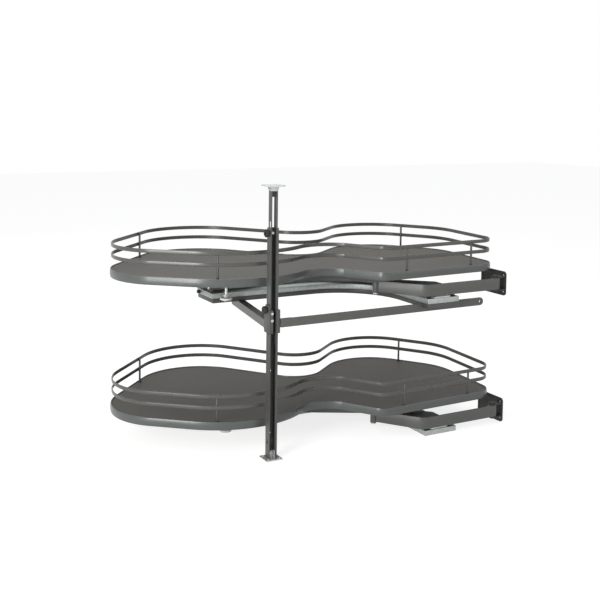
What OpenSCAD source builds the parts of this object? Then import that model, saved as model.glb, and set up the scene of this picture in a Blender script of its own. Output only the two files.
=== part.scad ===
// Blind-corner swing-out organiser: one post, two railed trays, each on a hinged
// swing arm and a roller carriage that runs in a curved floor channel.
// Origin: post axis on the floor. +X toward the wall plates, +Y into the blind
// corner, +Z up. Millimetres.

/* [Post] */
// height from the floor to the top of the post
post_height = 590; // [565:5:740]
// outer width of the lower channel
post_w = 18.5; // [17:0.5:22]
// wall of the lower channel
post_wall = 1.5; // [1.2:0.1:2]
// top end of the lower channel
post_lower_top = 499; // [494:5:514]
// running gap between the two channels, each side
post_gap = 0.4; // [0.3:0.1:0.7]
// side of the square foot plate
foot_side = 38; // [36:1:48]
// thickness of the foot plate
foot_t = 3; // [2:0.5:4]
// side of the square top flange
top_side = 38; // [34:1:48]

/* [Tiers] */
// height of the upper tier above the lower tier
tier_pitch = 308; // [298:2:330]
// underside of the deck above the tier level
deck_z = 63; // [61:1:68]
// thickness of the deck board
deck_t = 16; // [12:1:18]
// how far the rim stands above the deck
rim_lip = 2.5; // [1:0.5:4]
// thickness of the rim band
rim_t = 3; // [2:0.5:4]

/* [Rails] */
// top edge of the top rail above the deck
rail_top = 61; // [52:1:70]
// spacing of the two rails
rail_pitch = 24.5; // [20:0.5:30]
// height of each flat rail
rail_h = 8.5; // [6:0.5:10]
// thickness of each flat rail
rail_t = 2.6; // [2.4:0.1:3.2]
// distance from the rim's inner face to the rails
rail_gap = 0; // [0:0.5:5]
// diameter of the upright rods
rod_d = 5; // [4:0.5:6]

/* [Track] */
// outer width of the channel
track_w = 88; // [80:1:92]
// height of the channel
track_h = 12; // [11:0.5:14]
// sheet thickness of the channel
track_t = 2; // [1.5:0.5:2.5]
// plan radius of the front wall
track_r = 151; // [145:1:156]
// thickness of the base under the upper channel
base_t = 11; // [9:0.5:13]

/* [Swing arm] */
// face of the cabinet side that the wall plates sit on
wall_x = 604; // [603:1:612]
// height of the arm strip
arm_h = 27; // [22:1:27]
// thickness of the arm strip
arm_t = 4; // [3:0.5:5]
// top of the arm strip above the tier level
arm_top = 47; // [46:1:50]
// diameter of the hinge pins
pin_d = 8; // [6:0.5:9]
// radial running clearance of pins and rollers
fit = 0.05; // [0.03:0.01:0.10]

/* [Rollers] */
// diameter of the white nylon disc
disc_d = 28; // [24:1:30]
// diameter of the roller inside the channel
roller_d = 16; // [12:1:18]
// height of the roller inside the channel
roller_h = 5; // [4:0.5:6]

/* [Hidden] */
$fn = 48;
inner_w = post_w - 2*post_wall - 2*post_gap;
inner_t = 1.5;
inner_low = 250;
lower_lip = 5;
upper_lip = 3.5;
window_w = inner_w - 2*inner_t - 0.7;
neck_w = 19.5;
flange_t = 3;
stirrup_h = 10;
upper_top = post_height - flange_t - stirrup_h;
lock_z = post_lower_top - 11;
base_z = tier_pitch - base_t;
clamp_z0 = tier_pitch - 33;
clamp_z1 = tier_pitch + 17;
clamp_wall = 3.4;
clamp_w = post_w + 0.2 + 2*clamp_wall;
plate_t = 3;
plate_x = wall_x - plate_t;
hinge_x = wall_x - 27;
hinge_y = -36;
pivot_x = 298;
pivot_y = 56;
bend_x = pivot_x + 71;
arm_low = arm_top - arm_h;
arc_x = 230;
arc_y = 80;
track_left = -37;
track_front = -36;
brace_y = -clamp_w/2 - 4;
brace_h = 18.5;
brace_z = tier_pitch - 2 - brace_h;
brace_end = 557;
brace_screw_xs = [clamp_w/2 + 8, clamp_w/2 + 20];
arm_hole_x = track_left + 80;
arm_hole_ys = [arc_y + track_r + 14, arc_y + track_r + 44];
rail_in = rim_t + rail_gap;
deck_top = deck_z + deck_t;
carrier_z = arm_top + 1;
sheet = 2.5;
pocket = 8;
disc_z = 3;
disc_h = 5;
roller_z = track_t + 3;
stem_d = 8;

c_dark = [0.25, 0.25, 0.24];
c_black = [0.07, 0.07, 0.07];
c_rim = [0.36, 0.38, 0.38];
c_deck = [0.42, 0.40, 0.38];
c_steel = [0.62, 0.64, 0.63];
c_zinc = [0.80, 0.79, 0.75];
c_nylon = [0.91, 0.90, 0.86];

// tray outline corners, clockwise from above: x, y, corner radius
tray = [[-31, -28, 211.5], [-333.5, 229.5, 135.5], [-13.5, 572, 147], [228.5, 248, 71.5],
        [449.5, 432, 129.5], [602.5, 205.5, 143], [586.5, -31, 49.5], [261.5, -40, 32],
        [204, 49.5, 30.5], [153.5, 95, 76.5]];
// roller carriage outline seen from above, in its own frame at the pivot
pan = [[-26, -26, 12], [348, -29, 20], [378, -62, 10], [406, -62, 12],
       [406, -36, 20], [368, 44, 12], [330, 44, 10], [314, 29, 20], [-26, 26, 12]];
pan_turn = 151;
// centres of the nylon disc and of the channel roller, from above
disc_at = [pivot_x - 317, pivot_y + 140];
roller_at = [pivot_x - 319, pivot_y + 233];
// upright rods: corner of the tray outline, then how far round it (0 to 1) or, from
// 1 to 2, how far along the straight edge that follows
rods = [[0, 0.76], [1, 1.78], [4, 1.2], [6, 1.12], [6, 1.83]];

// ---------- plan outlines made of straight lines and round corners ----------
function xy(v) = [v[0], v[1]];
function unit(v) = v / norm(v);
function side(u) = [u[1], -u[0]];
function rot2(v, a) = [v[0]*cos(a) - v[1]*sin(a), v[0]*sin(a) + v[1]*cos(a)];
// the straight line from corner i to the next, moved d to its right
function edge(V, i, d) =
  let (n = len(V), a = xy(V[i]), u = unit(xy(V[(i + 1) % n]) - a))
  [a + side(u)*d, u];
function bend(V, i, d, step) =
  let (n = len(V), p = edge(V, (i + n - 1) % n, d), q = edge(V, i, d),
       den = cross(p[1], q[1]),
       meet = p[0] + p[1]*(cross(q[0] - p[0], q[1])/den),
       turn = atan2(den, p[1]*q[1]),
       r = max(0.6, V[i][2] + (den < 0 ? -d : d)),
       start = meet - p[1]*(r*tan(abs(turn)/2)),
       mid = start + [-p[1][1], p[1][0]]*(sign(turn)*r),
       k = max(2, ceil(abs(turn)/step)))
  [for (j = [0:k]) mid + rot2(start - mid, turn*j/k)];
// closed outline, d inward when the corners run clockwise
function loop(V, d, step) = [for (i = [0:len(V) - 1]) each bend(V, i, d, step)];
// open path moved d to its right
function path(V, d, step) =
  let (n = len(V), a = edge(V, 0, d), b = edge(V, n - 2, d))
  concat([a[0]], [for (i = [1:1:n - 2]) each bend(V, i, d, step)],
         [b[0] + b[1]*norm(xy(V[n - 1]) - xy(V[n - 2]))]);
function flip(p) = [for (i = [len(p) - 1:-1:0]) p[i]];

// place of one rod on the tray outline moved d inward
function rod_at(q, d) =
  let (arc = bend(tray, q[0], d, 7.5), n = len(arc) - 1,
       next = bend(tray, (q[0] + 1) % len(tray), d, 7.5)[0])
  q[1] <= 1 ? arc[round(q[1]*n)] : arc[n] + (next - arc[n])*(q[1] - 1);
// the rods are welded to the inner face of both rails
function rod_places() = [for (q = rods) rod_at(q, rail_in + rail_t + rod_d/2 - 0.4)];

module tray_plan(d) {
  polygon(loop(tray, d, 7.5));
}

module strip_plan(V, t, step) {
  polygon(concat(path(V, t/2, step), flip(path(V, -t/2, step))));
}

// upright strip that follows a bent path
module strip(V, t, z, h) {
  translate([0, 0, z])
    linear_extrude(h)
      strip_plan(V, t, 6);
}

module round_plan(x, y, d) {
  translate([x, y])
    circle(d = d);
}

// vertical round bar or bore
module bar(x, y, z0, z1, d) {
  translate([x, y, z0])
    cylinder(d = d, h = z1 - z0);
}

// bore that runs past both faces
module bore(x, y, z0, z1, d) {
  bar(x, y, z0 - 1, z1 + 1, d);
}

// ---------- post ----------
// channel open to the front, with a lip on the right of the opening only
module channel_plan(w, t, lip) {
  difference() {
    square([w, w], center = true);
    square([w - 2*t, w - 2*t], center = true);
    translate([-w/2 + t, -w])
      square([w - t - lip, w]);
  }
}

module foot_bracket() {
  in_w = post_w - 2*post_wall - 0.4;
  hole = foot_side/2 - 6;
  color(c_zinc)
    difference() {
      union() {
        translate([-foot_side/2, -foot_side/2, 0])
          cube([foot_side, foot_side, foot_t]);
        translate([-in_w/2, -in_w/2 + 3, foot_t])
          cube([2, in_w - 3, 15]);
        translate([in_w/2 - 2, -in_w/2 + 3, foot_t])
          cube([2, in_w - 3, 15]);
        translate([-in_w/2, in_w/2 - 2, foot_t])
          cube([in_w, 2, 12]);
      }
      for (x = [-hole, hole])
        for (y = [-hole, hole])
          bore(x, y, 0, foot_t, 4.5);
      bore(0, 0, 0, foot_t, 5);
    }
}

module post_lower_channel() {
  color(c_dark)
    difference() {
      translate([0, 0, foot_t])
        linear_extrude(post_lower_top - foot_t)
          channel_plan(post_w, post_wall, lower_lip);
      for (z = [54, 120, 190])
        translate([0, 0, z])
          rotate([-90, 0, 0])
            cylinder(d = 5, h = post_w);
      for (z = [34, tier_pitch - 37])
        translate([-post_w, -1.5, z])
          cube([post_w, 3, 11]);
      for (z = [37, tier_pitch - 34])
        translate([0, 0, z])
          rotate([0, -90, 0])
            cylinder(d = 6, h = post_w);
      for (z = [lock_z, clamp_z1])
        translate([0, 0, z])
          rotate([0, -90, 0])
            cylinder(d = 5.2, h = post_w);
    }
}

module post_upper_channel() {
  color(c_dark)
    difference() {
      translate([0, 0, inner_low])
        linear_extrude(upper_top - inner_low)
          channel_plan(inner_w, inner_t, upper_lip);
      translate([-window_w/2, 0, inner_low + 50])
        cube([window_w, inner_w, upper_top - inner_low - 62]);
      translate([-inner_w, -2.8, lock_z - 155])
        cube([inner_w, 5.6, 180]);
    }
}

// lobed knob on a side wall at x = -face, its grip pointing to -X
module side_knob(face, z) {
  translate([-face, 0, z])
    rotate([0, -90, 0]) {
      difference() {
        cylinder(d = 10, h = 3);
        translate([0, 0, -1])
          cylinder(d = 5.1, h = 5);
      }
      translate([0, 0, 3])
        linear_extrude(6)
          difference() {
            polygon([for (a = [0:10:350]) (7.7 + 0.8*cos(6*a))*[cos(a), sin(a)]]);
            circle(d = 5.1);
          }
    }
}

module post_lock_knob() {
  color(c_black)
    side_knob(post_w/2, lock_z);
}

module post_lock_screw() {
  nut_x = inner_w/2 - inner_t - 0.2;
  color(c_steel)
    translate([0, 0, lock_z])
      rotate([0, -90, 0]) {
        translate([0, 0, nut_x - 3])
          cylinder(d = 5, h = post_w/2 + 5.9 - nut_x + 3);
        translate([0, 0, nut_x - 7])
          cylinder(d = 8, h = 7, $fn = 6);
      }
}

module post_slot_block() {
  s = inner_w - 2*inner_t - 0.1;
  color(c_black)
    difference() {
      translate([-s/2, -s/2, upper_top - 12])
        cube([s, s, 12]);
      bore(0, 0, upper_top - 12, upper_top, 4.1);
    }
}

// flared neck under the top flange, as a prism that tapers to the left and right
module top_neck() {
  translate([0, neck_w, 0])
    rotate([90, 0, 0])
      linear_extrude(2*neck_w)
        polygon([[-inner_w/2, upper_top], [inner_w/2, upper_top],
                 [neck_w/2, post_height - flange_t + 0.5], [-neck_w/2, post_height - flange_t + 0.5]]);
}

module post_top_bracket() {
  hole = top_side/2 - 6;
  color(c_zinc)
    difference() {
      union() {
        translate([-top_side/2, -top_side/2, post_height - flange_t])
          cube([top_side, top_side, flange_t]);
        intersection() {
          top_neck();
          rotate(90)
            top_neck();
        }
        bar(0, 0, upper_top - 9, upper_top + 1, 4);
      }
      for (x = [-hole, hole])
        for (y = [-hole, hole])
          bore(x, y, post_height - flange_t, post_height, 4.5);
    }
}

// ---------- clamp and supports ----------
module clamp_collar() {
  w = clamp_w;
  color(c_dark)
    difference() {
      union() {
        translate([0, 0, clamp_z0])
          linear_extrude(clamp_z1 - clamp_z0)
            difference() {
              square([w, w], center = true);
              square([post_w + 0.2, post_w + 0.2], center = true);
              translate([-4, -w])
                square([8, w]);
            }
        translate([-w/2, -8, clamp_z1])
          cube([clamp_wall, 16, 10]);
        translate([w/2 - 1, -w/2, brace_z])
          cube([28, 3, brace_h]);
      }
      translate([0, 0, clamp_z1])
        rotate([0, -90, 0])
          cylinder(d = 5.2, h = w);
      for (z = [clamp_z1 - 7, clamp_z1 - 22])
        translate([-post_w/2 + 2, 0, z])
          rotate([90, 0, 0])
            cylinder(d = 3.2, h = w);
      for (x = brace_screw_xs)
        translate([x, 0, brace_z + brace_h/2])
          rotate([90, 0, 0])
            cylinder(d = 4.1, h = w);
    }
}

module clamp_knob() {
  stud = clamp_w/2 - post_w/2 + post_wall;
  color(c_black) {
    side_knob(clamp_w/2, clamp_z1);
    translate([-clamp_w/2 - 5.9, 0, clamp_z1])
      rotate([0, 90, 0])
        cylinder(d = 5, h = 5.9 + stud - 0.05);
  }
}

module clamp_screws() {
  color(c_steel)
    for (z = [clamp_z1 - 7, clamp_z1 - 22])
      translate([-post_w/2 + 2, -clamp_w/2, z])
        rotate([90, 0, 0]) {
          cylinder(d = 6, h = 2);
          translate([0, 0, 0.05 - clamp_wall])
            cylinder(d = 3, h = clamp_wall + 1);
        }
}

module right_support_brace() {
  x0 = clamp_w/2 + 0.5;
  r = brace_h/2;
  color(c_dark)
    difference() {
      translate([0, brace_y, brace_z + r])
        rotate([-90, 0, 0])
          linear_extrude(4)
          difference() {
            union() {
              translate([x0, -r])
                square([brace_end - r - x0, brace_h]);
              round_plan(brace_end - r, 0, brace_h);
            }
            round_plan(brace_end - r, 0, 6);
          }
      for (x = brace_screw_xs)
        translate([x, brace_y + 5, brace_z + r])
          rotate([90, 0, 0])
            cylinder(d = 4.1, h = 4.2);
    }
}

module brace_screws() {
  color(c_steel)
    for (x = brace_screw_xs)
      translate([x, brace_y + 7, brace_z + brace_h/2])
        rotate([-90, 0, 0]) {
          cylinder(d = 7, h = 2);
          translate([0, 0, -6])
            cylinder(d = 4, h = 7);
        }
}

module left_support_arm() {
  y0 = clamp_w/2;
  z1 = base_z;
  top = [[-5, y0 + 1, 0], [arm_hole_x - 4, arc_y + track_r + 57, 0]];
  color(c_dark)
    difference() {
      union() {
        strip(top, 3, z1 - 18, 17);
        translate([0, 0, z1 - 3])
          linear_extrude(3)
            intersection() {
              polygon(concat(path(top, 17, 6), flip(path(top, -1.5, 6))));
              translate([-clamp_w, y0])
                square([arm_hole_x + 2*clamp_w, arc_y + track_r + 60]);
            }
        translate([-12, y0, z1 - 18])
          cube([16, 3, 18]);
      }
      for (y = arm_hole_ys)
        bore(arm_hole_x, y, z1 - 3, z1, 4.2);
    }
}

// ---------- track ----------
// band of the channel in plan, inset from both walls
module band_plan(inset, cut) {
  r0 = track_r + inset;
  r1 = track_r + track_w - inset;
  x0 = track_left + cut;
  y0 = track_front + cut;
  translate([x0, arc_y + r0])
    square([arc_x - x0, r1 - r0]);
  translate([arc_x + r0, y0])
    square([r1 - r0, arc_y - y0]);
  intersection() {
    difference() {
      round_plan(arc_x, arc_y, 2*r1, $fn = 160);
      round_plan(arc_x, arc_y, 2*r0, $fn = 160);
    }
    translate([arc_x, arc_y])
      square([r1, r1]);
  }
}

function mid_r() = track_r + track_w/2;
// screw places along the middle of the channel
function screw_spots() = [
  [track_left + 50, arc_y + mid_r()],
  [track_left + 170, arc_y + mid_r()],
  [arc_x + mid_r()*cos(60), arc_y + mid_r()*sin(60)],
  [arc_x + mid_r()*cos(25), arc_y + mid_r()*sin(25)],
  [arc_x + mid_r(), arc_y - 40]
];

module channel_track() {
  color(c_steel)
    difference() {
      linear_extrude(track_h)
        band_plan(0, 0);
      translate([0, 0, track_t])
        linear_extrude(track_h)
          band_plan(track_t, track_t);
      translate([track_left - 1, arc_y + track_r + track_t, track_t])
        cube([8, track_w - 2*track_t, track_h]);
      for (p = screw_spots())
        bore(p[0], p[1], 0, track_t, 4.2);
    }
}

module track_end_plate() {
  y0 = arc_y + track_r;
  color(c_steel)
    translate([track_left - 2, y0, 0])
      cube([2, track_w, track_h]);
}

module track_stop() {
  color(c_steel)
    translate([arc_x + track_r + 20, track_front + 4, track_t])
      cube([track_w - 42, 14, track_h + 0.5]);
}

// two buffers beside the stop and the small end button outside the left end
module track_bumpers() {
  color(c_black) {
    for (x = [arc_x + track_r + 11, arc_x + track_r + track_w - 11])
      bar(x, track_front + 11, track_t, track_h + 3, 10);
    translate([track_left - 2, arc_y + track_r + track_w - 14, 5])
      rotate([0, -90, 0])
        cylinder(d = 8, h = 6);
  }
}

module upper_track_base() {
  color(c_dark)
    difference() {
      translate([0, 0, base_z])
        linear_extrude(base_t)
          band_plan(0, 0);
      translate([arc_x + track_r - 5, brace_y - 0.2, base_z - 1])
        cube([track_w + 10, 4.4, base_t - 0.8]);
      for (p = screw_spots())
        bore(p[0], p[1], base_z, tier_pitch, 4.1);
      for (y = arm_hole_ys)
        bore(arm_hole_x, y, base_z, tier_pitch, 4.1);
    }
}

module upper_track_screws() {
  color(c_steel) {
    for (p = screw_spots()) {
      bar(p[0], p[1], base_z + 0.5, tier_pitch + track_t + 1, 4);
      bar(p[0], p[1], tier_pitch + track_t, tier_pitch + track_t + 1.5, 8);
    }
    for (y = arm_hole_ys) {
      bar(arm_hole_x, y, base_z - 5.2, base_z - 3, 7);
      bar(arm_hole_x, y, base_z - 4, tier_pitch - 0.5, 4);
    }
  }
}

// ---------- wall plate and swing arm ----------
module wall_plate() {
  y0 = hinge_y - 8;
  y1 = hinge_y + 82;
  z0 = 2;
  z1 = 60;
  r = 8;
  ear = 10;
  color(c_dark)
    difference() {
      union() {
        translate([plate_x, 0, 0])
          rotate([90, 0, 90])
            linear_extrude(plate_t)
              difference() {
                union() {
                  translate([y0 + r, z0])
                    square([y1 - y0 - 2*r, z1 - z0]);
                  translate([y0, z0 + r])
                    square([y1 - y0, z1 - z0 - 2*r]);
                  for (y = [y0 + r, y1 - r])
                    for (z = [z0 + r, z1 - r])
                      round_plan(y, z, 2*r);
                }
                for (y = [y0 + 9, y1 - 9])
                  for (z = [z0 + 9, z1 - 9])
                    round_plan(y, z, 5);
              }
        for (z = [arm_low - 3.5, arm_top + 0.5])
          translate([0, 0, z])
            linear_extrude(3) {
              translate([hinge_x, hinge_y - ear])
                square([plate_x - hinge_x, 2*ear]);
              round_plan(hinge_x, hinge_y, 2*ear);
            }
      }
      bore(hinge_x, hinge_y, arm_low - 4, arm_top + 4, pin_d + 0.1);
    }
}

module wall_pin() {
  color(c_steel) {
    bar(hinge_x, hinge_y, arm_low - 5.5, arm_top + 5, pin_d);
    bar(hinge_x, hinge_y, arm_top + 3.5, arm_top + 6, pin_d + 4);
    bar(hinge_x, hinge_y, arm_low - 6, arm_low - 3.5, pin_d + 3);
  }
}

module swing_arm() {
  face = hinge_y - 10;
  line = face + arm_t/2;
  u = unit([pivot_x, pivot_y] - [bend_x, line]);
  color(c_dark)
    difference() {
      union() {
        strip([[hinge_x, line, 0], [bend_x, line, 26],
               [pivot_x - 4*u[0], pivot_y - 4*u[1], 0]], arm_t, arm_low, arm_h);
        bar(hinge_x, hinge_y, arm_low, arm_top, 20);
        bar(pivot_x, pivot_y, arm_low - 2, arm_top, pin_d + 7);
      }
      bore(hinge_x, hinge_y, arm_low, arm_top, pin_d + 2*fit);
      bore(pivot_x, pivot_y, arm_low - 2, arm_top, pin_d + 0.1);
    }
}

module arm_gusset() {
  line = hinge_y - 10 + arm_t;
  r = pin_d/2 + 3.8;
  color(c_dark)
    translate([0, 0, arm_top - 3])
      linear_extrude(3)
        difference() {
          polygon([[pivot_x + 117, line], [pivot_x + 117, line + 26],
                   [pivot_x + 25, pivot_y + 10], [pivot_x + 7, pivot_y + 6],
                   [pivot_x + 16, pivot_y - 18], [bend_x - 6, line + 10],
                   [bend_x + 2, line + 2], [bend_x + 14, line]]);
          strip_plan([[hinge_x, line - arm_t/2, 0], [bend_x, line - arm_t/2, 26],
                      [pivot_x, pivot_y, 0]], arm_t + 0.1, 6);
          round_plan(pivot_x, pivot_y, 2*r);
        }
}

// pin fixed in the arm's barrel; the tray carriage turns on its upper end
module pivot_pin() {
  color(c_steel) {
    bar(pivot_x, pivot_y, arm_low - 2.5, deck_z - 1, pin_d);
    bar(pivot_x, pivot_y, arm_low - 5, arm_low - 2, pin_d + 4);
  }
}

// ---------- tray ----------
module deck() {
  color(c_deck)
    difference() {
      translate([0, 0, deck_z])
        linear_extrude(deck_t)
          tray_plan(rim_t);
      for (p = rod_places())
        translate([0, 0, deck_top - pocket])
          bar(p[0], p[1], 0, pocket + 1, rod_d + 0.1);
    }
}

module rim() {
  color(c_rim)
    translate([0, 0, deck_z])
      linear_extrude(deck_t + rim_lip)
        difference() {
          tray_plan(0);
          tray_plan(rim_t);
        }
}

module flat_rail(z) {
  color(c_dark)
    translate([0, 0, z])
      linear_extrude(rail_h)
        difference() {
          tray_plan(rail_in);
          tray_plan(rail_in + rail_t);
        }
}

module rail_rods() {
  color(c_dark)
    for (p = rod_places())
      bar(p[0], p[1], deck_top - pocket, deck_top + rail_top - 1, rod_d);
}

module rod_collars() {
  color(c_black)
    for (p = rod_places())
      difference() {
        bar(p[0], p[1], deck_top, deck_top + 3, rod_d + 4);
        bore(p[0], p[1], deck_top, deck_top + 3, rod_d + 0.1);
      }
}

module carrier() {
  color(c_dark)
    difference() {
      union() {
        translate([pivot_x, pivot_y, 0])
          rotate(pan_turn) {
            translate([0, 0, deck_z - sheet])
              linear_extrude(sheet)
                polygon(loop(pan, 0, 15));
            translate([0, 0, carrier_z])
              linear_extrude(deck_z - carrier_z - 1)
                difference() {
                  polygon(loop(pan, 0, 15));
                  polygon(loop(pan, -sheet, 15));
                }
          }
        bar(pivot_x, pivot_y, carrier_z, deck_z - 1, pin_d + 7);
        bar(disc_at[0], disc_at[1], carrier_z, deck_z - 1, 14);
        bar(roller_at[0], roller_at[1], carrier_z, deck_z - 1, 14);
      }
      bar(pivot_x, pivot_y, carrier_z - 1, deck_z - 0.8, pin_d + 2*fit);
      bar(disc_at[0], disc_at[1], carrier_z - 1, deck_z - 3, 6.1);
      bar(roller_at[0], roller_at[1], carrier_z - 1, deck_z - 3, stem_d + 0.1);
    }
}

module guide_bolt() {
  x = disc_at[0];
  y = disc_at[1];
  color(c_steel) {
    bar(x, y, disc_z - 2, deck_z - 3.2, 6);
    bar(x, y, disc_z - 2.5, disc_z - 0.3, 10);
    translate([x, y, disc_z + disc_h + 0.3])
      cylinder(d = 12, h = 6, $fn = 6);
  }
}

module roller_stem() {
  x = roller_at[0];
  y = roller_at[1];
  color(c_steel) {
    bar(x, y, roller_z - 1, deck_z - 3.2, stem_d);
    bar(x, y, roller_z + roller_h + 0.3, track_h + 6, stem_d + 4);
    bar(x, y, roller_z - 1.1, roller_z - 0.3, stem_d + 3);
  }
}

module guide_roller() {
  color(c_nylon)
    translate([disc_at[0], disc_at[1], disc_z])
      rotate_extrude($fn = 64)
        polygon([[3 + fit, 0], [disc_d/2 - 1, 0], [disc_d/2, 1], [disc_d/2, disc_h - 1],
                 [disc_d/2 - 1, disc_h], [3 + fit, disc_h]]);
}

module track_roller() {
  r0 = stem_d/2 + fit;
  r1 = roller_d/2;
  color(c_nylon)
    translate([roller_at[0], roller_at[1], roller_z])
      rotate_extrude($fn = 64)
        polygon([[r0, 0], [r1 - 0.6, 0], [r1, 0.6], [r1, roller_h - 0.6],
                 [r1 - 0.6, roller_h], [r0, roller_h]]);
}

// ---------- the two tiers ----------
module up() {
  translate([0, 0, tier_pitch])
    children();
}

module lower_track() { channel_track(); }
module lower_track_end_plate() { track_end_plate(); }
module lower_track_stop() { track_stop(); }
module lower_track_bumpers() { track_bumpers(); }
module lower_wall_plate() { wall_plate(); }
module lower_wall_pin() { wall_pin(); }
module lower_swing_arm() { swing_arm(); }
module lower_arm_gusset() { arm_gusset(); }
module lower_pivot_pin() { pivot_pin(); }
module lower_deck() { deck(); }
module lower_rim() { rim(); }
module lower_top_rail() { flat_rail(deck_top + rail_top - rail_h); }
module lower_mid_rail() { flat_rail(deck_top + rail_top - rail_h - rail_pitch); }
module lower_rail_rods() { rail_rods(); }
module lower_rod_collars() { rod_collars(); }
module lower_carrier() { carrier(); }
module lower_guide_bolt() { guide_bolt(); }
module lower_roller_stem() { roller_stem(); }
module lower_guide_roller() { guide_roller(); }
module lower_track_roller() { track_roller(); }

module upper_track() { up() channel_track(); }
module upper_track_end_plate() { up() track_end_plate(); }
module upper_track_stop() { up() track_stop(); }
module upper_track_bumpers() { up() track_bumpers(); }
module upper_wall_plate() { up() wall_plate(); }
module upper_wall_pin() { up() wall_pin(); }
module upper_swing_arm() { up() swing_arm(); }
module upper_arm_gusset() { up() arm_gusset(); }
module upper_pivot_pin() { up() pivot_pin(); }
module upper_deck() { up() deck(); }
module upper_rim() { up() rim(); }
module upper_top_rail() { up() flat_rail(deck_top + rail_top - rail_h); }
module upper_mid_rail() { up() flat_rail(deck_top + rail_top - rail_h - rail_pitch); }
module upper_rail_rods() { up() rail_rods(); }
module upper_rod_collars() { up() rod_collars(); }
module upper_carrier() { up() carrier(); }
module upper_guide_bolt() { up() guide_bolt(); }
module upper_roller_stem() { up() roller_stem(); }
module upper_guide_roller() { up() guide_roller(); }
module upper_track_roller() { up() track_roller(); }

foot_bracket();
post_lower_channel();
post_lock_knob();
post_lock_screw();
clamp_collar();
clamp_knob();
clamp_screws();
right_support_brace();
brace_screws();
left_support_arm();
upper_track_base();
upper_track_screws();
post_upper_channel();
post_top_bracket();
post_slot_block();
lower_track();
lower_track_end_plate();
lower_track_stop();
lower_track_bumpers();
lower_wall_plate();
lower_wall_pin();
lower_swing_arm();
lower_arm_gusset();
lower_pivot_pin();
lower_deck();
lower_rim();
lower_top_rail();
lower_mid_rail();
lower_rail_rods();
lower_rod_collars();
lower_carrier();
lower_guide_bolt();
lower_roller_stem();
lower_guide_roller();
lower_track_roller();
upper_track();
upper_track_end_plate();
upper_track_stop();
upper_track_bumpers();
upper_wall_plate();
upper_wall_pin();
upper_swing_arm();
upper_arm_gusset();
upper_pivot_pin();
upper_deck();
upper_rim();
upper_top_rail();
upper_mid_rail();
upper_rail_rods();
upper_rod_collars();
upper_carrier();
upper_guide_bolt();
upper_roller_stem();
upper_guide_roller();
upper_track_roller();
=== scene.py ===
# %% [markdown]
# # A blind-corner swing-out organiser
# The object is a kitchen fitting: a post from floor to top rail, and two railed
# trays that swing and roll out of a blind corner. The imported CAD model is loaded
# first and never moved. Everything below either gives a CAD piece its finish or
# puts a finer piece in its place, in the same metres and the same frame.

# %% Load the frame
import math

import bmesh
import bpy
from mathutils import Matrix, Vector


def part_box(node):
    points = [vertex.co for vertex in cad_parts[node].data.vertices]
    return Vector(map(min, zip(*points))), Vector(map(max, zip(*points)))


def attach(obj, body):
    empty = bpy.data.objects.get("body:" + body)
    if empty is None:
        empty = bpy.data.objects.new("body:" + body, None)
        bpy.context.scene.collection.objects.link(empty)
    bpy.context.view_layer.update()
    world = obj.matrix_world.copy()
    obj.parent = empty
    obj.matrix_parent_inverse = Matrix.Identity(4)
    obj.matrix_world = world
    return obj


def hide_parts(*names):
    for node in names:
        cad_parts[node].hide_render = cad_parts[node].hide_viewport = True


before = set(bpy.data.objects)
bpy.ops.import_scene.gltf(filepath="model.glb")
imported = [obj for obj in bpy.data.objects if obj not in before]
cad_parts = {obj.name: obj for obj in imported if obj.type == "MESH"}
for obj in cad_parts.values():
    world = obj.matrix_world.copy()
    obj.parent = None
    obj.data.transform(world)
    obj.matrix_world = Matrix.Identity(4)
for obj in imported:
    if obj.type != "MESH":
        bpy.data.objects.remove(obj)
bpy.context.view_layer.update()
TIERS = {"lower": 0.0, "upper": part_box("upper_deck")[0][2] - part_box("lower_deck")[0][2]}
print("tiers", TIERS)

# %% [markdown]
# Colours are given as sRGB hex values, the way a paint chart gives them,
# but shaders work in linear light. One function does that change for every
# finish. A second one adds a node, sets it and links it, so that each tree below
# reads as a list of what it does.


# %% Colour and node helpers
def paint(code):
    """An sRGB hex value as linear RGBA."""
    parts = [int(code[i:i + 2], 16) / 255 for i in (1, 3, 5)]
    return [c / 12.92 if c <= 0.04045 else ((c + 0.055) / 1.055) ** 2.4 for c in parts] + [1.0]


def put(tree, kind, feeds=None, **settings):
    """Adds one node. feeds gives its inputs by name or place: a socket is linked, a value is set."""
    node = tree.nodes.new(kind)
    for key, value in settings.items():
        setattr(node, key, value)
    for key, value in (feeds or {}).items():
        if isinstance(value, bpy.types.NodeSocket):
            tree.links.new(value, node.inputs[key])
        else:
            node.inputs[key].default_value = value
    return node


# %% [markdown]
# The camera stands where the photograph's did: well above the upper tray, to the
# left of the post and turned 29 degrees to the right. The post's sides stay
# parallel in the photograph, as in a catalogue picture whose lens was lowered.
# A lens shifted that far would crop the object when it is seen from other sides,
# so the camera looks 4 degrees down and keeps only part of the shift. Its place
# was found by matching the edges of both trays, the post, the plates and the
# channel ends. The lower tray comes within two pixels and the upper within six.

# %% Camera
SENSOR_WIDE = 36.0       # millimetres
PHOTO_WIDE = 600         # pixels
FOCAL_LENGTH = 950.47    # pixels of the photograph
LENS_SHIFT = -0.20       # share of the picture's width

camera_data = bpy.data.cameras.new("photo_camera")
camera_data.sensor_width = SENSOR_WIDE
camera_data.lens = SENSOR_WIDE * FOCAL_LENGTH / PHOTO_WIDE
camera_data.shift_y = LENS_SHIFT
camera = bpy.data.objects.new("photo_camera", camera_data)
camera.location = (-0.9083, -1.7735, 0.7491)
camera.rotation_euler = tuple(math.radians(a) for a in (85.736, -0.665, -28.666))
bpy.context.collection.objects.link(camera)
bpy.context.scene.camera = camera
bpy.context.scene.view_settings.view_transform = "Standard"
print("lens", round(camera_data.lens, 1), "mm")

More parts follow.
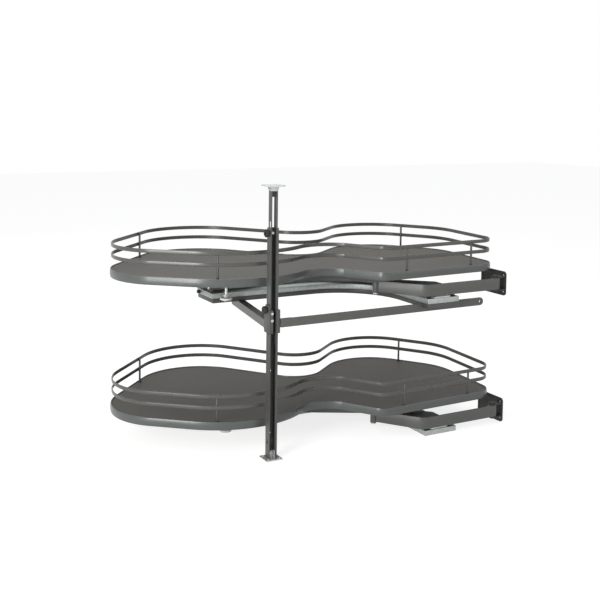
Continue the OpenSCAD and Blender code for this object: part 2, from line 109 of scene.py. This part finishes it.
# %% [markdown]
# The picture is a catalogue cut-out, pale all round. The white comes from what
# the camera and the reflections see of the world and the floor, not from stronger
# lamps, so the dark coats keep their depth. As a source of light the world is a
# dim pale grey.

# %% World
world = bpy.data.worlds.new("studio")
bpy.context.scene.world = world
world.use_nodes = True
tree = world.node_tree
tree.nodes.clear()
rays = put(tree, "ShaderNodeLightPath")
shown = put(tree, "ShaderNodeMath", {0: rays.outputs["Is Camera Ray"],
                                     1: rays.outputs["Is Transmission Ray"]}, operation="MAXIMUM")
seen = put(tree, "ShaderNodeMath", {0: shown.outputs[0],
                                    1: rays.outputs["Is Glossy Ray"]}, operation="MAXIMUM")
white = put(tree, "ShaderNodeBackground", {"Color": paint("#ffffff"), "Strength": 1.0})
dim = put(tree, "ShaderNodeBackground", {"Color": paint("#f4f6f8"), "Strength": 0.42})
mixed = put(tree, "ShaderNodeMixShader", {0: seen.outputs[0], 1: dim.outputs[0], 2: white.outputs[0]})
put(tree, "ShaderNodeOutputWorld", {"Surface": mixed.outputs[0]})
print("world ready")

# %% [markdown]
# Half of the floor's white is a glow and half is real light on matt paint, which
# keeps a faint shadow under the pieces.

# %% Floor
GLOW_SHARE = 0.5      # the part of the floor's white that is glow
FLOOR_REACH = 9       # metres from the middle to each side
FLOOR_DROP = 0.0005   # metres, just under the foot plate

floor_paint = bpy.data.materials.new("pale_floor")
floor_paint.use_nodes = True
tree = floor_paint.node_tree
tree.nodes.clear()
rays = put(tree, "ShaderNodeLightPath")
seen = put(tree, "ShaderNodeMath", {0: rays.outputs["Is Camera Ray"],
                                    1: rays.outputs["Is Glossy Ray"]}, operation="MAXIMUM")
share = put(tree, "ShaderNodeMath", {0: seen.outputs[0], 1: GLOW_SHARE}, operation="MULTIPLY")
matt = put(tree, "ShaderNodeBsdfDiffuse", {"Color": paint("#f2f2f0")})
glow = put(tree, "ShaderNodeEmission", {"Color": paint("#ffffff"), "Strength": 1.58})
both = put(tree, "ShaderNodeMixShader", {0: share.outputs[0], 1: matt.outputs[0], 2: glow.outputs[0]})
put(tree, "ShaderNodeOutputMaterial", {"Surface": both.outputs[0]})

floor_mesh = bpy.data.meshes.new("floor")
floor_mesh.from_pydata([(x * FLOOR_REACH, y * FLOOR_REACH, -FLOOR_DROP)
                        for x, y in ((-1, -1), (1, -1), (1, 1), (-1, 1))], [], [(0, 1, 2, 3)])
floor_mesh.materials.append(floor_paint)
floor = bpy.data.objects.new("floor", floor_mesh)
bpy.context.collection.objects.link(floor)
print("floor of", 2 * FLOOR_REACH, "m")

# %% [markdown]
# The light is soft and comes mostly from the left, as in the photograph. A tall
# softbox low on that side puts a bright line on the rounded edges that face it
# and leaves the rest dark. The other three only lift the shadows.


# %% Lamps
def lamp(name, place, aim, wide, tall, watts):
    """A softbox at place that faces aim. It lights the object and is not seen itself."""
    data = bpy.data.lights.new(name, "AREA")
    data.shape = "RECTANGLE"
    data.size = wide
    data.size_y = tall
    data.energy = watts
    lamp_object = bpy.data.objects.new(name, data)
    lamp_object.location = place
    lamp_object.rotation_euler = (Vector(aim) - Vector(place)).to_track_quat("-Z", "Y").to_euler()
    lamp_object.visible_camera = False
    bpy.context.collection.objects.link(lamp_object)


lamp("strip_left", (-2.1, -1.15, 0.75), (0.1, 0.1, 0.3), 0.75, 1.5, 50)
lamp("key_left", (-2.3, -1.6, 2.2), (0.15, 0.15, 0.3), 1.6, 1.6, 18)
lamp("fill_right", (2.2, -2.4, 1.4), (0.2, 0.1, 0.3), 2.0, 2.0, 12)
lamp("top_back", (0.4, 1.6, 2.6), (0.15, 0.2, 0.3), 1.8, 1.8, 14)
print("lamps", [light.name for light in bpy.data.lights])

# %% [markdown]
# Most of the metal is mild steel with an anthracite powder coat. Powder melts
# into a film with a faint orange-peel skin about 1.5 mm across, satin rather than
# glossy, so the finish is a dark base, a soft uneven roughness and a very low
# bump. The rim, the rails, the arms and the plates are the same kind of coat in
# slightly different tones, so one function makes them all from their own numbers.
# Every finish starts from the same empty tree and the piece's own coordinates,
# which are in metres, so a grain of so many millimetres has Scale 1000 over it.


# %% Powder-coated steel
def empty_finish(name):
    """A material with an empty tree, that tree, and the piece's own coordinates in it."""
    finish = bpy.data.materials.new(name)
    finish.use_nodes = True
    tree = finish.node_tree
    tree.nodes.clear()
    return finish, tree, put(tree, "ShaderNodeTexCoord").outputs["Object"]


def powder_coat(name, shade, lighter, roughness, peel_mm=1.5, peel_depth_mm=0.008):
    """Satin powder coat. shade and lighter are its two tones, which drift over the piece."""
    coat, tree, where = empty_finish(name)
    cloud = put(tree, "ShaderNodeTexNoise", {"Vector": where, "Scale": 1000 / 90, "Detail": 2.0})
    tone = put(tree, "ShaderNodeMix", {0: cloud.outputs["Fac"], 6: paint(shade), 7: paint(lighter)},
               data_type="RGBA")
    peel = put(tree, "ShaderNodeTexNoise", {"Vector": where, "Scale": 1000 / peel_mm, "Detail": 2.0})
    gloss = put(tree, "ShaderNodeMapRange",
                {"Value": cloud.outputs["Fac"], "From Min": 0.3, "From Max": 0.7,
                 "To Min": roughness - 0.03, "To Max": roughness + 0.03})
    skin = put(tree, "ShaderNodeBump", {"Height": peel.outputs["Fac"], "Strength": 0.6,
                                        "Distance": peel_depth_mm / 1000})
    film = put(tree, "ShaderNodeBsdfPrincipled",
               {"Base Color": tone.outputs[2], "Roughness": gloss.outputs[0], "IOR": 1.5,
                "Normal": skin.outputs[0]})
    put(tree, "ShaderNodeOutputMaterial", {"Surface": film.outputs[0]})
    return coat


anthracite = powder_coat("anthracite_powder_coat", "#424341", "#484947", 0.42)
anthracite_arm = powder_coat("anthracite_arm_coat", "#4c4d4a", "#52534f", 0.40)
rail_coat = powder_coat("glossier_rail_coat", "#484844", "#4d4d49", 0.28)
rim_coat = powder_coat("grey_green_rim_coat", "#4b4f4d", "#515553", 0.30)
plate_coat = powder_coat("wall_plate_coat", "#191a17", "#1f201d", 0.60)
print("powder coats ready")

# %% [markdown]
# The channels are zinc-plated sheet. Galvanising freezes into spangles, flat
# crystal patches a few millimetres wide that each catch the light a little
# differently. Voronoi cells give that patchwork, fine drawing lines from the
# rolling mill run over it, and the metal is kept fairly rough so that it reads as
# pale silver and not as a mirror.


# %% Zinc-plated sheet
def zinc_sheet(name, shade, bright, roughness, spangle_mm=5.0, spread=0.06):
    """Plated sheet steel with spangles of that size. spread is how far their roughness differs."""
    sheet, tree, where = empty_finish(name)
    spangle = put(tree, "ShaderNodeTexVoronoi", {"Vector": where, "Scale": 1000 / spangle_mm})
    patch = put(tree, "ShaderNodeSeparateColor", {0: spangle.outputs["Color"]})
    tone = put(tree, "ShaderNodeMix", {0: patch.outputs[0], 6: paint(shade), 7: paint(bright)},
               data_type="RGBA")
    rolled = put(tree, "ShaderNodeMapping", {"Vector": where, "Scale": (60.0, 900.0, 900.0)})
    lines = put(tree, "ShaderNodeTexNoise", {"Vector": rolled.outputs[0], "Scale": 1.0, "Detail": 3.0})
    gloss = put(tree, "ShaderNodeMapRange", {"Value": patch.outputs[1], "To Min": roughness - spread,
                                             "To Max": roughness + spread})
    skin = put(tree, "ShaderNodeBump", {"Height": lines.outputs["Fac"], "Strength": 0.35,
                                        "Distance": 0.02 / 1000})
    metal = put(tree, "ShaderNodeBsdfPrincipled",
                {"Base Color": tone.outputs[2], "Metallic": 0.85, "Roughness": gloss.outputs[0],
                 "Normal": skin.outputs[0]})
    put(tree, "ShaderNodeOutputMaterial", {"Surface": metal.outputs[0]})
    return sheet


track_zinc = zinc_sheet("galvanised_channel", "#9da2a1", "#abb0af", 0.46, spread=0.04)
stop_zinc = zinc_sheet("pale_zinc_stop", "#cacdcb", "#d4d6d4", 0.44, spread=0.03)
screw_zinc = zinc_sheet("bright_zinc_screws", "#b9bcba", "#cfd1cf", 0.28, spangle_mm=2.0)
foot_zinc = zinc_sheet("pale_zinc_foot", "#cfd1cf", "#dcdedc", 0.45, spangle_mm=3.0)
top_zinc = zinc_sheet("white_zinc_flange", "#c2c4c1", "#c9cbc8", 0.6, spangle_mm=3.0, spread=0.02)
print("zinc finishes ready")

# %% [markdown]
# The deck is fibreboard under a warm grey laminate with a fine print of specks
# about a millimetre across. The knobs, collars and buffers are injection-moulded
# nylon: matt, with the faint grain of a spark-eroded mould. The rollers are the
# same plastic left off-white.


# %% Laminate and moulded plastic
def laminate(name, ground, speck, cloudy):
    """Matt laminate: a ground colour, soft clouds and millimetre specks."""
    board, tree, where = empty_finish(name)
    cloud = put(tree, "ShaderNodeTexNoise", {"Vector": where, "Scale": 1000 / 90, "Detail": 5.0})
    base = put(tree, "ShaderNodeMix", {0: cloud.outputs["Fac"], 6: paint(ground), 7: paint(cloudy)},
               data_type="RGBA")
    grit = put(tree, "ShaderNodeTexNoise", {"Vector": where, "Scale": 1000 / 1.6, "Detail": 2.0})
    fleck = put(tree, "ShaderNodeMapRange",
                {"Value": grit.outputs["Fac"], "From Min": 0.56, "From Max": 0.70,
                 "To Min": 0.0, "To Max": 0.55})
    look = put(tree, "ShaderNodeMix", {0: fleck.outputs[0], 6: base.outputs[2], 7: paint(speck)},
               data_type="RGBA")
    skin = put(tree, "ShaderNodeBump", {"Height": grit.outputs["Fac"], "Strength": 0.3,
                                        "Distance": 0.03 / 1000})
    face = put(tree, "ShaderNodeBsdfPrincipled",
               {"Base Color": look.outputs[2], "Roughness": 0.62, "IOR": 1.45,
                "Normal": skin.outputs[0]})
    put(tree, "ShaderNodeOutputMaterial", {"Surface": face.outputs[0]})
    return board


def moulded(name, shade, tint, roughness, grain_mm=0.6):
    """Injection-moulded nylon with a fine mould grain."""
    plastic, tree, where = empty_finish(name)
    grain = put(tree, "ShaderNodeTexNoise", {"Vector": where, "Scale": 1000 / grain_mm, "Detail": 2.0})
    cloud = put(tree, "ShaderNodeTexNoise", {"Vector": where, "Scale": 1000 / 12})
    tone = put(tree, "ShaderNodeMix", {0: cloud.outputs["Fac"], 6: paint(shade), 7: paint(tint)},
               data_type="RGBA")
    skin = put(tree, "ShaderNodeBump", {"Height": grain.outputs["Fac"], "Strength": 0.4,
                                        "Distance": 0.03 / 1000})
    body = put(tree, "ShaderNodeBsdfPrincipled",
               {"Base Color": tone.outputs[2], "Roughness": roughness, "IOR": 1.53,
                "Normal": skin.outputs[0]})
    put(tree, "ShaderNodeOutputMaterial", {"Surface": body.outputs[0]})
    return plastic


deck_laminate = laminate("warm_grey_laminate", "#4d4a44", "#5e5952", "#53504b")
black_nylon = moulded("black_moulded_nylon", "#0d0d0d", "#131312", 0.55)
white_nylon = moulded("off_white_nylon", "#e9e8e2", "#f0efe9", 0.42)
print("board and plastics ready")

# %% [markdown]
# Both trays have the same plan: a large lobe, a waist on each side and a smaller
# lobe with square corners. The plan is a polygon with a radius at each corner,
# as a draughtsman would give it, so an inset is exact: each straight side moves
# in, and each arc keeps its centre. The numbers are those of the CAD source. Each
# corner is its place and its radius, in millimetres.

# %% Tray plan
CORNERS = [(-31, -28, 211.5), (-333.5, 229.5, 135.5), (-13.5, 572, 147), (228.5, 248, 71.5),
           (449.5, 432, 129.5), (602.5, 205.5, 143), (586.5, -31, 49.5), (261.5, -40, 32),
           (204, 49.5, 30.5), (153.5, 95, 76.5)]


def corner_arc(i, inset, step=2.5):
    """Points in millimetres along the arc of corner i, with the whole plan moved inward."""
    count = len(CORNERS)
    before, here, after = (Vector(CORNERS[(i + k) % count][:2]) for k in (-1, 0, 1))
    u, v = (here - before).normalized(), (after - here).normalized()
    cross = u.x * v.y - u.y * v.x
    a = before + Vector((u.y, -u.x)) * inset
    b = here + Vector((v.y, -v.x)) * inset
    meet = a + u * (((b - a).x * v.y - (b - a).y * v.x) / cross)
    turn = math.atan2(cross, u.dot(v))
    radius = CORNERS[i][2] + (-inset if cross < 0 else inset)
    start = meet - u * (radius * math.tan(abs(turn) / 2))
    centre = start + Vector((-u.y, u.x)) * math.copysign(radius, turn)
    steps = max(4, math.ceil(math.degrees(abs(turn)) / step))
    arm = start - centre
    points = []
    for k in range(steps + 1):
        c, s = math.cos(turn * k / steps), math.sin(turn * k / steps)
        points.append(centre + Vector((arm.x * c - arm.y * s, arm.x * s + arm.y * c)))
    return points


def tray_loop(inset, height):
    """The closed plan as 3-D points in metres."""
    flat = [p for i in range(len(CORNERS)) for p in corner_arc(i, inset)]
    return [(p.x / 1000, p.y / 1000, height) for p in flat]


print("points round a tray", len(tray_loop(0, 0)))

# %% [markdown]
# Rim and rails are bars that follow that plan, which is what a sweep is for. A
# small Geometry Nodes tree turns a loop of edges into a curve, sweeps a rounded
# rectangle along it and gives the result its finish. The tree makes the rim band
# and both rails of each tray, with its width, height, edge radius and crown as
# named inputs. The crown is how far the edges of the outer face fall back behind
# its middle: the rim is domed, so its upper half catches the low softbox in a
# bright line, while the rails are nearly flat.


# %% A sweep along the tray edge
SECTION_STEP = 1.2 / 1000    # metres between points round the bar's section
SMOOTH_BELOW = 40            # degrees: faces that meet flatter than this are shaded as one


def swept_bar_tree():
    """Sweeps a rounded rectangle along a level loop of edges."""
    tree = bpy.data.node_groups.new("bar_along_tray_edge", "GeometryNodeTree")
    face = tree.interface
    face.new_socket("Geometry", in_out="INPUT", socket_type="NodeSocketGeometry")
    for label in ("Bar width", "Bar height", "Edge radius", "Crown"):
        face.new_socket(label, in_out="INPUT", socket_type="NodeSocketFloat")
    face.new_socket("Finish", in_out="INPUT", socket_type="NodeSocketMaterial")
    face.new_socket("Geometry", in_out="OUTPUT", socket_type="NodeSocketGeometry")
    given = put(tree, "NodeGroupInput")
    route = put(tree, "GeometryNodeMeshToCurve", {"Mesh": given.outputs["Geometry"]})
    level = put(tree, "GeometryNodeSetCurveNormal", {"Curve": route.outputs[0]}, mode="Z_UP")
    section = put(tree, "GeometryNodeCurvePrimitiveQuadrilateral",
                  {"Width": given.outputs["Bar width"], "Height": given.outputs["Bar height"]})
    rounded = put(tree, "GeometryNodeFilletCurve",
                  {"Curve": section.outputs[0], "Radius": given.outputs["Edge radius"], "Count": 3},
                  mode="POLY")
    finer = put(tree, "GeometryNodeResampleCurve",
                {"Curve": rounded.outputs[0], "Length": SECTION_STEP}, mode="LENGTH")
    spot = put(tree, "ShaderNodeSeparateXYZ", {0: put(tree, "GeometryNodeInputPosition").outputs[0]})

    def math_node(operation, first, second):
        """The output of one sum on two values or sockets."""
        return put(tree, "ShaderNodeMath", {0: first, 1: second}, operation=operation).outputs[0]

    half_tall = math_node("DIVIDE", given.outputs["Bar height"], 2.0)
    climb = math_node("DIVIDE", spot.outputs["Y"], half_tall)
    curved = math_node("POWER", climb, 2.0)
    outer = math_node("LESS_THAN", spot.outputs["X"], 0.0)
    fall = math_node("MULTIPLY", curved, given.outputs["Crown"])
    inward = math_node("MULTIPLY", fall, outer)
    move = put(tree, "ShaderNodeCombineXYZ", {"X": inward})
    domed = put(tree, "GeometryNodeSetPosition", {"Geometry": finer.outputs[0], "Offset": move.outputs[0]})
    swept = put(tree, "GeometryNodeCurveToMesh",
                {"Curve": level.outputs[0], "Profile Curve": domed.outputs[0]})
    real = put(tree, "GeometryNodeRealizeInstances", {0: swept.outputs[0]})
    coated = put(tree, "GeometryNodeSetMaterial",
                 {"Geometry": real.outputs[0], "Material": given.outputs["Finish"]})
    put(tree, "NodeGroupOutput", {0: coated.outputs[0]})
    return tree


def settle(made, mesh, smooth_below=None):
    """Writes a bmesh into a mesh and frees it. Faces that meet flatter than smooth_below shade as one."""
    made.to_mesh(mesh)
    made.free()
    if smooth_below:
        mesh.shade_smooth()
        mesh.set_sharp_from_angle(angle=math.radians(smooth_below))
    return mesh


def grow_from(name, points, edges, tree, sizes, body):
    """Runs a tree on a wire of points, keeps the result as a plain mesh and lets it ride on a body."""
    wire = bpy.data.meshes.new(name + "_wire")
    wire.from_pydata(points, edges, [])
    piece = bpy.data.objects.new(name, wire)
    bpy.context.collection.objects.link(piece)
    modifier = piece.modifiers.new("grow", "NODES")
    modifier.node_group = tree
    sockets = {s.name: s.identifier for s in tree.interface.items_tree if s.in_out == "INPUT"}
    for label, value in sizes.items():
        modifier[sockets[label]] = value
    evaluated = piece.evaluated_get(bpy.context.evaluated_depsgraph_get())
    mesh = bpy.data.meshes.new_from_object(evaluated)
    piece.modifiers.clear()
    piece.data = mesh
    made = bmesh.new()
    made.from_mesh(mesh)
    bmesh.ops.recalc_face_normals(made, faces=made.faces)
    settle(made, mesh, SMOOTH_BELOW)
    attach(piece, body)
    return piece


BAR_TREE = swept_bar_tree()
# Millimetres: how far in from the plan, how wide, the radius of the edges, and the crown.
RIM = (0.25, 3.0, 0.9, 1.1)
RAIL = (3.0, 2.6, 0.8, 0.4)


def edge_bar(name, body, node, bar, finish):
    """One bar round the tray, in the place of the CAD node."""
    inset, wide, radius, crown = bar
    low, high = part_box(node)
    points = tray_loop(inset + wide / 2, (low[2] + high[2]) / 2)
    edges = [(k, (k + 1) % len(points)) for k in range(len(points))]
    piece = grow_from(name, points, edges, BAR_TREE,
                      {"Bar width": wide / 1000, "Bar height": high[2] - low[2],
                       "Edge radius": radius / 1000, "Crown": crown / 1000,
                       "Finish": finish}, body)
    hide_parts(node)
    return piece


for tier in TIERS:
    tray_body = tier + "_tray"
    rim_band = edge_bar(tier + "_rim_band", tray_body, tier + "_rim", RIM, rim_coat)
    for rail in ("_top_rail", "_mid_rail"):
        edge_bar(tier + rail + "_bar", tray_body, tier + rail, RAIL, rail_coat)
print("rim band", len(rim_band.data.polygons), "faces")

# %% [markdown]
# The deck board fills the rim. Its plan is the same outline moved in until its
# edge ends inside the rim's thickness, so no gap shows. The CAD board has bores
# for the rods, which nobody sees, and a coarse outline, so a plain board with the
# fine outline takes its place.

# %% Deck boards
BOARD_INSET = 2.5    # millimetres


def deck_board(name, body, node):
    """A plain board in the place of the CAD node."""
    low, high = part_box(node)
    made = bmesh.new()
    base = [made.verts.new(p) for p in tray_loop(BOARD_INSET, low[2])]
    lid = [made.verts.new((v.co.x, v.co.y, high[2])) for v in base]
    made.faces.new(lid)
    made.faces.new(list(reversed(base)))
    for k in range(len(base)):
        n = (k + 1) % len(base)
        made.faces.new((base[k], base[n], lid[n], lid[k]))
    bmesh.ops.triangulate(made, faces=[f for f in made.faces if len(f.verts) > 4])
    bmesh.ops.recalc_face_normals(made, faces=made.faces)
    mesh = settle(made, bpy.data.meshes.new(name))
    mesh.materials.append(deck_laminate)
    piece = bpy.data.objects.new(name, mesh)
    bpy.context.collection.objects.link(piece)
    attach(piece, body)
    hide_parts(node)
    return piece


for tier in TIERS:
    board = deck_board(tier + "_deck_board", tier + "_tray", tier + "_deck")
print("deck board", len(board.data.polygons), "faces")

# %% [markdown]
# Five upright rods carry the rails of each tray, and each stands in a small
# black collar on the deck. Rods and collars repeat, so a tree puts a turned
# shape on every point of a small cloud. The shape is a half profile spun once
# round its axis, which gives a rod its rounded top and a collar its tapered
# skirt.


# %% Rods and collars
def copies_tree():
    """Puts a copy of a shape on every point."""
    tree = bpy.data.node_groups.new("copies_on_places", "GeometryNodeTree")
    face = tree.interface
    face.new_socket("Geometry", in_out="INPUT", socket_type="NodeSocketGeometry")
    face.new_socket("Shape", in_out="INPUT", socket_type="NodeSocketObject")
    face.new_socket("Finish", in_out="INPUT", socket_type="NodeSocketMaterial")
    face.new_socket("Geometry", in_out="OUTPUT", socket_type="NodeSocketGeometry")
    given = put(tree, "NodeGroupInput")
    places = put(tree, "GeometryNodeMeshToPoints", {"Mesh": given.outputs["Geometry"]})
    shape = put(tree, "GeometryNodeObjectInfo", {"Object": given.outputs["Shape"]})
    copies = put(tree, "GeometryNodeInstanceOnPoints",
                 {"Points": places.outputs[0], "Instance": shape.outputs["Geometry"]})
    real = put(tree, "GeometryNodeRealizeInstances", {0: copies.outputs[0]})
    coated = put(tree, "GeometryNodeSetMaterial",
                 {"Geometry": real.outputs[0], "Material": given.outputs["Finish"]})
    put(tree, "NodeGroupOutput", {0: coated.outputs[0]})
    return tree


def turned(name, profile, sides=32):
    """A shape spun from a half profile of (radius, height) in millimetres, closed at both ends."""
    made = bmesh.new()
    rings = []
    for radius, height in profile:
        if radius == 0:
            rings.append([made.verts.new((0, 0, height / 1000))])
        else:
            rings.append([made.verts.new((radius / 1000 * math.cos(2 * math.pi * k / sides),
                                          radius / 1000 * math.sin(2 * math.pi * k / sides),
                                          height / 1000)) for k in range(sides)])
    for a, b in zip(rings, rings[1:]):
        for k in range(sides):
            n = (k + 1) % sides
            if len(a) == 1:
                made.faces.new((a[0], b[n], b[k]))
            elif len(b) == 1:
                made.faces.new((a[k], a[n], b[0]))
            else:
                made.faces.new((a[k], a[n], b[n], b[k]))
    bmesh.ops.recalc_face_normals(made, faces=made.faces)
    return bpy.data.objects.new(name, settle(made, bpy.data.meshes.new(name), SMOOTH_BELOW))


COPIES_TREE = copies_tree()
# Millimetres: the radii, a rod's lower end under the deck's top, a collar's height,
# how deep a rod sits in the rails, and how far its axis is in from the tray's plan.
ROD_R, ROD_FOOT = 2.5, -7.5
COLLAR_R, COLLAR_TALL = 4.5, 3.0
ROD_PRESS = 0.4
ROD_LINE = RAIL[0] + RAIL[1] + ROD_R - ROD_PRESS
deck_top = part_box("lower_deck")[1][2]
rod_tall = (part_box("lower_rail_rods")[1][2] - deck_top) * 1000


# Each rod's corner of the plan and how far along: 0 to 1 on its arc, 1 to 2 on the side after it.
ROD_PLACES = ((0, 0.76), (1, 1.78), (4, 1.2), (6, 1.12), (6, 1.83))
CAD_STEP = 7.5    # degrees between the points of an arc in the CAD source


def rod_points(height):
    """Where the rods of a tray stand, in metres."""
    places = []
    for i, share in ROD_PLACES:
        arc = corner_arc(i, ROD_LINE, CAD_STEP)
        after = corner_arc((i + 1) % len(CORNERS), ROD_LINE, CAD_STEP)[0]
        p = arc[round(share * (len(arc) - 1))] if share <= 1 else arc[-1].lerp(after, share - 1)
        places.append((p.x / 1000, p.y / 1000, height))
    return places


rod_shape = turned("rod_shape", [
    (0, ROD_FOOT), (ROD_R - 0.2, ROD_FOOT), (ROD_R, ROD_FOOT + 0.3), (ROD_R, rod_tall - 0.7),
    (ROD_R - 0.4, rod_tall - 0.2), (ROD_R - 1.1, rod_tall), (0, rod_tall)])
collar_shape = turned("collar_shape", [
    (0, 0), (COLLAR_R, 0), (COLLAR_R, 1.2), (COLLAR_R - 0.4, 2.3), (COLLAR_R - 1.1, COLLAR_TALL),
    (0, COLLAR_TALL)])
for tier, lift in TIERS.items():
    for name, shape, finish, node, slot_name in (
            ("_rods", rod_shape, anthracite, "_rail_rods", "dark_steel"),
            ("_collars", collar_shape, black_nylon, "_rod_collars", "black_plastic")):
        piece = grow_from(tier + name, rod_points(deck_top + lift), [], COPIES_TREE,
                          {"Shape": shape, "Finish": finish}, tier + "_tray")
        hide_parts(tier + node)
print("rods of", round(rod_tall, 1), "mm")

# %% [markdown]
# Pressed and cut steel never has a knife edge: shears and coating leave each
# edge with a radius of half a millimetre or so, and that is what draws the thin
# light line along a real bracket. The CAD pieces are exact but sharp. A welded
# copy of each gets its flat faces joined and a narrow bevel, and takes the CAD
# piece's place in the picture. A flat face with a hole in it is cut into
# triangles before the bevel, which would otherwise close the hole.

# %% Softened copies of the steel pieces
WELD_REACH = 0.01 / 1000    # metres: corners nearer than this are one
FLAT_WITHIN = 0.6           # degrees: faces this near to flat are joined
ROUND_ABOVE = 35            # degrees: edges sharper than this get a bevel
SHADE_BELOW = 32            # degrees: bevel and face shade as one below this


def softened(node, body, finish, radius_mm):
    """A copy of a CAD node with rounded edges and a finish, riding on the same body."""
    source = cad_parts[node]
    made = bmesh.new()
    made.from_mesh(source.data)
    bmesh.ops.remove_doubles(made, verts=made.verts, dist=WELD_REACH)
    bmesh.ops.dissolve_limit(made, angle_limit=math.radians(FLAT_WITHIN),
                             verts=made.verts, edges=made.edges)
    bmesh.ops.triangulate(made, faces=[f for f in made.faces if len(f.verts) > 4])
    sharp = [e for e in made.edges
             if len(e.link_faces) == 2 and e.calc_face_angle(0) > math.radians(ROUND_ABOVE)]
    bmesh.ops.bevel(made, geom=sharp, offset=radius_mm / 1000, segments=2, profile=0.5,
                    affect="EDGES", clamp_overlap=True)
    bmesh.ops.triangulate(made, faces=[f for f in made.faces if len(f.verts) > 4])
    mesh = settle(made, bpy.data.meshes.new(node + "_soft"), SHADE_BELOW)
    mesh.materials.append(finish)
    piece = bpy.data.objects.new(node + "_soft", mesh)
    bpy.context.collection.objects.link(piece)
    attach(piece, body)
    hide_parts(node)
    return piece


# Node, body, finish, slot and edge radius in millimetres.
SOFT_PIECES = [
    ("right_support_brace", "frame", anthracite_arm, "dark_steel", 0.5),
    ("left_support_arm", "frame", anthracite_arm, "dark_steel", 0.4),
    ("clamp_collar", "frame", anthracite, "dark_steel", 0.4),
    ("post_lower_channel", "frame", anthracite, "dark_steel", 0.4),
    ("post_upper_channel", "post_top", anthracite, "dark_steel", 0.35),
    ("foot_bracket", "frame", foot_zinc, "zinc_plate", 0.35),
    ("post_top_bracket", "post_top", top_zinc, "zinc_plate", 0.35),
    ("upper_track_base", "frame", anthracite, "dark_steel", 0.6),
]
for tier in TIERS:
    SOFT_PIECES += [
        (tier + "_track", "frame", track_zinc, "bright_steel", 0.4),
        (tier + "_track_end_plate", "frame", track_zinc, "bright_steel", 0.3),
        (tier + "_track_stop", "frame", stop_zinc, "bright_steel", 0.5),
        (tier + "_wall_plate", "frame", plate_coat, "plate_steel", 0.5),
        (tier + "_swing_arm", tier + "_arm", anthracite_arm, "dark_steel", 0.5),
        (tier + "_arm_gusset", tier + "_arm", anthracite, "dark_steel", 0.4),
        (tier + "_carrier", tier + "_tray", anthracite, "dark_steel", 0.5),
    ]
for node, body, finish, slot_name, radius in SOFT_PIECES:
    piece = softened(node, body, finish, radius)
print("softened", len(SOFT_PIECES), "steel pieces; the last has", len(piece.data.polygons), "faces")

# %% [markdown]
# The rest of the small pieces keep their CAD shape: pins, bolts, rollers, knobs
# and buffers are already turned or lobed as the real ones are. Each only needs
# its finish, set on its material slot.

# %% Finishes for the CAD pieces that stay
KEPT = {
    "post_lock_knob": black_nylon, "clamp_knob": black_nylon, "post_slot_block": black_nylon,
    "post_lock_screw": screw_zinc, "clamp_screws": screw_zinc, "brace_screws": screw_zinc,
    "upper_track_screws": screw_zinc,
}
for tier in TIERS:
    KEPT.update({
        tier + "_wall_pin": plate_coat, tier + "_pivot_pin": screw_zinc,
        tier + "_guide_bolt": screw_zinc, tier + "_roller_stem": screw_zinc,
        tier + "_guide_roller": white_nylon, tier + "_track_roller": white_nylon,
        tier + "_track_bumpers": black_nylon,
    })
for node, finish in KEPT.items():
    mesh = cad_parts[node].data
    if mesh.materials:
        for k in range(len(mesh.materials)):
            mesh.materials[k] = finish
    else:
        mesh.materials.append(finish)
print("finished", len(KEPT), "kept pieces")
